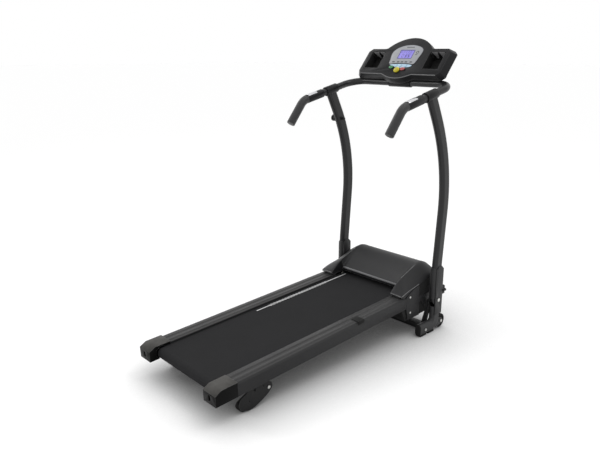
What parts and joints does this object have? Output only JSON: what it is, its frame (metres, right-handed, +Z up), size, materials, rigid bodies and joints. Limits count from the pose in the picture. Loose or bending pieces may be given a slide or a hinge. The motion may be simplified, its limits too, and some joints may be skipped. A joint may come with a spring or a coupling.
{
  "type": "treadmill",
  "caption": "Folding home treadmill: belt deck with motor hood, two curved uprights, handlebar with grips and a tilted console.",
  "frame": {"origin": "bottom centre of the bounding box, on the floor", "axes": "+X to the user's right, +Y the way the user faces when running, +Z up"},
  "size_m": [0.6078, 1.302, 1.2389],
  "materials": {
    "frame_black": "satin powder coat",
    "tube_graphite": "satin powder coat",
    "rail_black": "fine grain",
    "cover_black": "satin",
    "tray_black": "matt",
    "belt_black": "fine diamond weave",
    "board_wood": "waxed",
    "rubber_black": "matt",
    "foam_black": "closed-cell foam",
    "steel": "zinc plated",
    "motor_grey": "satin",
    "chrome": "polished",
    "panel_silver": "satin silver",
    "screen": "clear",
    "circuit_green": "lacquered",
    "key_blue": "satin",
    "key_green": "satin",
    "key_red": "satin",
    "key_yellow": "satin"
  },
  "bodies": {
    "base": {"base_legs": "tube_graphite", "base_cross_tube": "frame_black", "pivot_towers": "frame_black", "upright_brackets": "tube_graphite", "leg_plugs": "rail_black", "floor_pads": "rubber_black", "base_bolts": "steel"},
    "deck": {"side_frame_left": "frame_black", "side_frame_right": "frame_black", "side_rail_left": "rail_black", "side_rail_right": "rail_black", "rear_caps": "rail_black", "cross_members": "frame_black", "deck_board": "board_wood", "running_belt": "belt_black", "rail_clip": "rail_black", "roller_axles": "steel", "roller_bearings": "steel", "motor_body": "motor_grey", "drive_belt": "belt_black", "motor_bracket": "frame_black", "motor_tray": "tray_black", "motor_cover": "cover_black", "side_panels": "rail_black", "panel_screws": "steel", "control_board": "circuit_green", "power_inlet": "cover_black", "foot_hangers": "frame_black", "deck_bolts": "steel"},
    "uprights": {"upright_left": "tube_graphite", "upright_right": "tube_graphite", "handlebar": "tube_graphite", "grips": "foam_black", "pulse_sensors": "cover_black", "sensor_plates": "chrome", "joint_covers": "rail_black", "console_shell": "cover_black", "console_back": "cover_black", "console_panel": "panel_silver", "lcd_display": "screen", "console_board": "circuit_green"},
    "front_roller": {"front_roller": "steel"},
    "rear_roller": {"rear_roller": "steel"},
    "motor_shaft": {"motor_shaft": "steel"},
    "power_switch": {"power_switch": "cover_black"},
    "lock_pin": {"lock_pin": "cover_black"},
    "key_start": {"key_start": "key_green"},
    "key_slower": {"key_slower": "key_blue"},
    "key_mode": {"key_mode": "key_blue"},
    "key_faster": {"key_faster": "key_blue"},
    "key_stop": {"key_stop": "key_red"},
    "safety_key": {"safety_key": "key_yellow"},
    "transport_wheel_left": {"transport_wheel_left": "rubber_black"},
    "transport_wheel_right": {"transport_wheel_right": "rubber_black"},
    "upright_knob_left": {"upright_knob_left": "cover_black"},
    "upright_knob_right": {"upright_knob_right": "cover_black"},
    "rear_foot_left": {"rear_foot_left": "frame_black", "rear_foot_pad_left": "rubber_black"},
    "rear_foot_right": {"rear_foot_right": "frame_black", "rear_foot_pad_right": "rubber_black"}
  },
  "joints": [
    {"name": "deck_fold", "type": "hinge", "parent": "base", "child": "deck", "pos_m": [0, 0.48613, 0.122], "axis": [-1, 0, 0], "range_deg": [0, 87.8]},
    {"name": "uprights_fold", "type": "hinge", "parent": "base", "child": "uprights", "pos_m": [0, 0.49313, 0.145], "axis": [-1, 0, 0], "range_deg": [-66, 0]},
    {"name": "front_roller_spin", "type": "hinge", "parent": "deck", "child": "front_roller", "pos_m": [0, 0.40861, 0.15485], "axis": [1, 0, 0], "continuous": true},
    {"name": "rear_roller_spin", "type": "hinge", "parent": "deck", "child": "rear_roller", "pos_m": [0, -0.59711, 0.10414], "axis": [1, 0, 0], "continuous": true},
    {"name": "motor_spin", "type": "hinge", "parent": "deck", "child": "motor_shaft", "pos_m": [0, 0.49582, 0.13398], "axis": [1, 0, 0], "continuous": true},
    {"name": "rear_foot_left_fold", "type": "hinge", "parent": "deck", "child": "rear_foot_left", "pos_m": [-0.204, -0.42587, 0.06], "axis": [1, 0, 0], "range_deg": [0, 30]},
    {"name": "rear_foot_right_fold", "type": "hinge", "parent": "deck", "child": "rear_foot_right", "pos_m": [0.204, -0.42587, 0.06], "axis": [1, 0, 0], "range_deg": [0, 30]},
    {"name": "transport_wheel_left_spin", "type": "hinge", "parent": "base", "child": "transport_wheel_left", "pos_m": [-0.272, 0.53113, 0.034], "axis": [1, 0, 0], "continuous": true},
    {"name": "upright_knob_left_turn", "type": "hinge", "parent": "base", "child": "upright_knob_left", "pos_m": [-0.272, 0.51943, 0.18], "axis": [0, 1, 0], "continuous": true},
    {"name": "transport_wheel_right_spin", "type": "hinge", "parent": "base", "child": "transport_wheel_right", "pos_m": [0.272, 0.53113, 0.034], "axis": [1, 0, 0], "continuous": true},
    {"name": "upright_knob_right_turn", "type": "hinge", "parent": "base", "child": "upright_knob_right", "pos_m": [0.272, 0.51943, 0.18], "axis": [0, 1, 0], "continuous": true},
    {"name": "lock_pin_slide", "type": "slide", "parent": "uprights", "child": "lock_pin", "axis": [1, 0, 0], "range_m": [0, 0.009]},
    {"name": "key_start_press", "type": "slide", "parent": "uprights", "child": "key_start", "axis": [0, 0.766, -0.6428], "range_m": [0, 0.0015], "stiffness_N_per_m": 400, "springref_m": -0.001},
    {"name": "key_slower_press", "type": "slide", "parent": "uprights", "child": "key_slower", "axis": [0, 0.766, -0.6428], "range_m": [0, 0.0015], "stiffness_N_per_m": 400, "springref_m": -0.001},
    {"name": "key_mode_press", "type": "slide", "parent": "uprights", "child": "key_mode", "axis": [0, 0.766, -0.6428], "range_m": [0, 0.0015], "stiffness_N_per_m": 400, "springref_m": -0.001},
    {"name": "key_faster_press", "type": "slide", "parent": "uprights", "child": "key_faster", "axis": [0, 0.766, -0.6428], "range_m": [0, 0.0015], "stiffness_N_per_m": 400, "springref_m": -0.001},
    {"name": "key_stop_press", "type": "slide", "parent": "uprights", "child": "key_stop", "axis": [0, 0.766, -0.6428], "range_m": [0, 0.0015], "stiffness_N_per_m": 400, "springref_m": -0.001},
    {"name": "safety_key_pull", "type": "slide", "parent": "uprights", "child": "safety_key", "axis": [0, -0.766, 0.6428], "range_m": [0, 0.015]},
    {"name": "power_switch_rock", "type": "hinge", "parent": "deck", "child": "power_switch", "pos_m": [0.1625, 0.55341, 0.19108], "axis": [1, 0, 0], "range_deg": [0, 16]}
  ],
  "couplings": [
    {"joint": "rear_roller_spin", "follows": "front_roller_spin", "ratio": 1.1053},
    {"joint": "motor_spin", "follows": "front_roller_spin", "ratio": 2.5}
  ]
}
